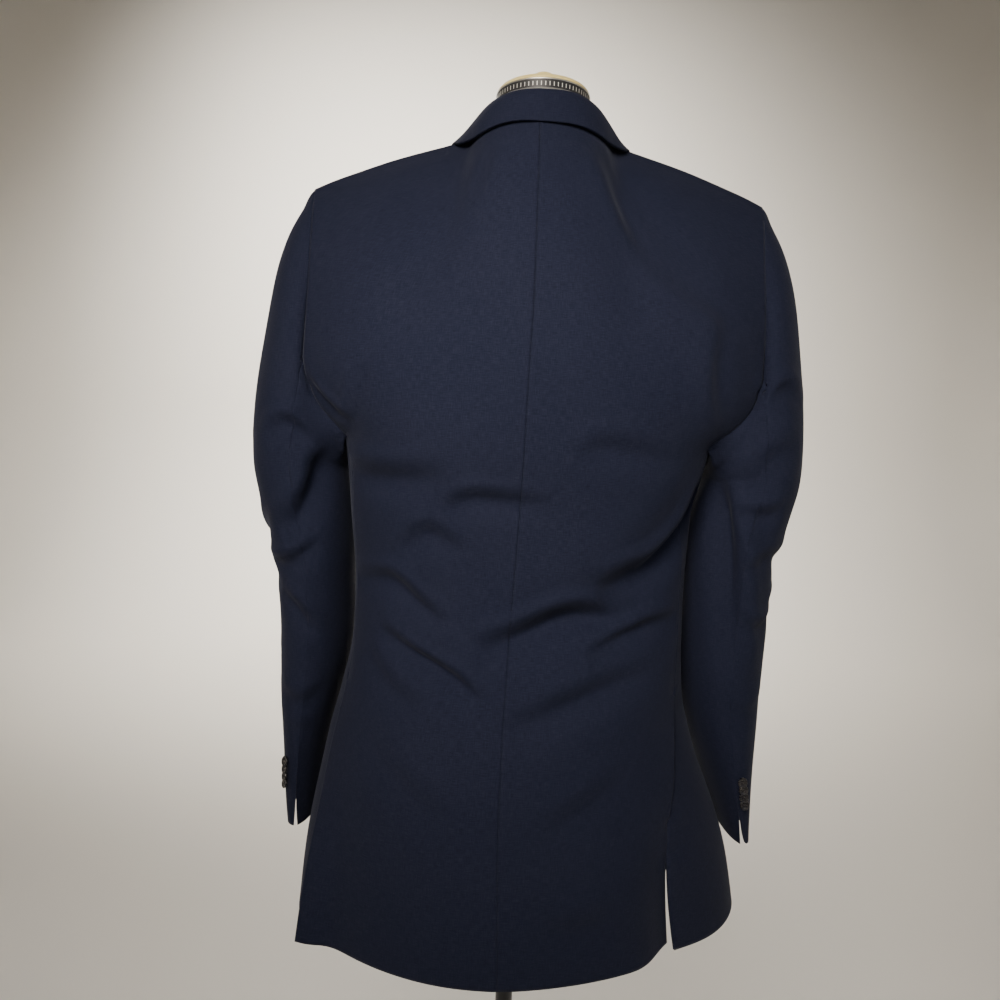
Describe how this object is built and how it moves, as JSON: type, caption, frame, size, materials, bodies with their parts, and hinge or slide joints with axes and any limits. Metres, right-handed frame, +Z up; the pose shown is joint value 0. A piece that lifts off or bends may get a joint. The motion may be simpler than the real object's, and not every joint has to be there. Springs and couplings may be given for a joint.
{
  "type": "blazer on a dress form",
  "caption": "Dark tailored blazer with side vents and buttoned cuffs, hanging on a limbless dress form with a neck ring, a pole and a round base.",
  "frame": {"origin": "centre of the stand's underside, on the floor at the pole's axis", "axes": "+Z up along the pole, -Y towards the blazer's front, +Y towards its back, +X towards the wearer's left"},
  "size_m": [0.57, 0.37, 1.4994],
  "materials": {
    "navy_cloth": "matt woven cloth",
    "dark_button": "polished",
    "form_cover": "matt cover over a firm shell",
    "ring_silver": "silver paint",
    "cap_cream": "satin",
    "stand_black": "black paint"
  },
  "bodies": {
    "root": {"back_left": "navy_cloth", "back_right": "navy_cloth", "side_left": "navy_cloth", "side_right": "navy_cloth", "front_left": "navy_cloth", "front_right": "navy_cloth", "top_sleeve_left": "navy_cloth", "top_sleeve_right": "navy_cloth", "under_sleeve_left": "navy_cloth", "under_sleeve_right": "navy_cloth", "collar": "navy_cloth", "lapel_left": "navy_cloth", "lapel_right": "navy_cloth", "front_button_1": "dark_button", "front_button_2": "dark_button", "cuff_button_left_1": "dark_button", "cuff_button_left_2": "dark_button", "cuff_button_left_3": "dark_button", "cuff_button_left_4": "dark_button", "cuff_button_right_1": "dark_button", "cuff_button_right_2": "dark_button", "cuff_button_right_3": "dark_button", "cuff_button_right_4": "dark_button", "form_torso": "form_cover", "neck_ring": "ring_silver", "neck_cap": "cap_cream", "neck_knob": "cap_cream", "pole": "stand_black", "pole_socket": "stand_black", "base": "stand_black"}
  },
  "joints": []
}
